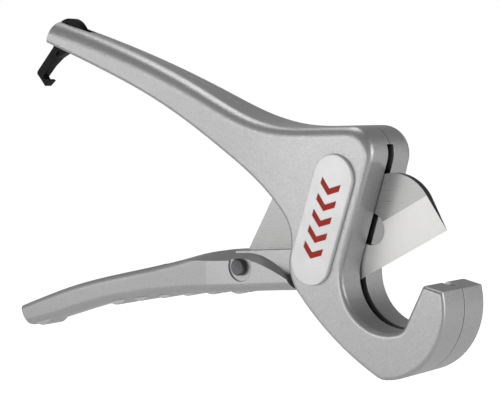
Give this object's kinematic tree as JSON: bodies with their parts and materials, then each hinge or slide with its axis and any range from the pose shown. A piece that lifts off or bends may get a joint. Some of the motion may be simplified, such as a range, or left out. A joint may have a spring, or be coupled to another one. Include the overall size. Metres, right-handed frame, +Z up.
{
  "type": "pipe cutter",
  "caption": "Hand-held scissor cutter for plastic pipe, with a hooked jaw, a flat pivoting blade on the lower handle and a handle latch.",
  "frame": {"origin": "on the flat rear face of the head, straight behind the middle of the badge", "axes": "+X from the handles to the jaw, +Z up towards the upper handle, -Y out of the front face that carries the badge"},
  "size_m": [0.2409, 0.0306, 0.1433],
  "materials": {
    "casting": "sand-fine matte die casting",
    "badge_face": "satin silver",
    "badge_enamel": "gloss enamel",
    "dark_steel": "dark oxide",
    "bronze": "sintered",
    "white_nylon": "natural",
    "spring_steel": "drawn wire",
    "black_screw": "black oxide",
    "blade_steel": "ground flat",
    "black_plastic": "moulded"
  },
  "bodies": {
    "body": {"front_body_half": "casting", "rear_body_half": "casting", "badge_plate": "badge_face", "badge_inlay": "badge_enamel", "pivot_screw": "dark_steel", "thrust_washer_front": "white_nylon", "thrust_washer_rear": "white_nylon", "torsion_spring": "spring_steel", "long_body_screws": "black_screw", "short_body_screws": "black_screw", "locating_dowels": "spring_steel", "open_stop_pin": "spring_steel", "latch_pin": "dark_steel", "latch_washers": "white_nylon"},
    "lever": {"blade": "blade_steel", "lower_handle": "casting", "handle_pin": "dark_steel", "handle_pin_clip": "spring_steel", "pivot_bush": "bronze"},
    "latch": {"latch": "black_plastic"}
  },
  "joints": [
    {"name": "lever_pivot", "type": "hinge", "parent": "body", "child": "lever", "pos_m": [-0.0117, -0.0145, -0.0194], "axis": [0, 1, 0], "range_deg": [-21, 40.5], "deforming": ["torsion_spring"]},
    {"name": "latch_pivot", "type": "hinge", "parent": "body", "child": "latch", "pos_m": [-0.1552, -0.0145, 0.0736], "axis": [0, 1, 0], "range_deg": [-16, 20]}
  ]
}
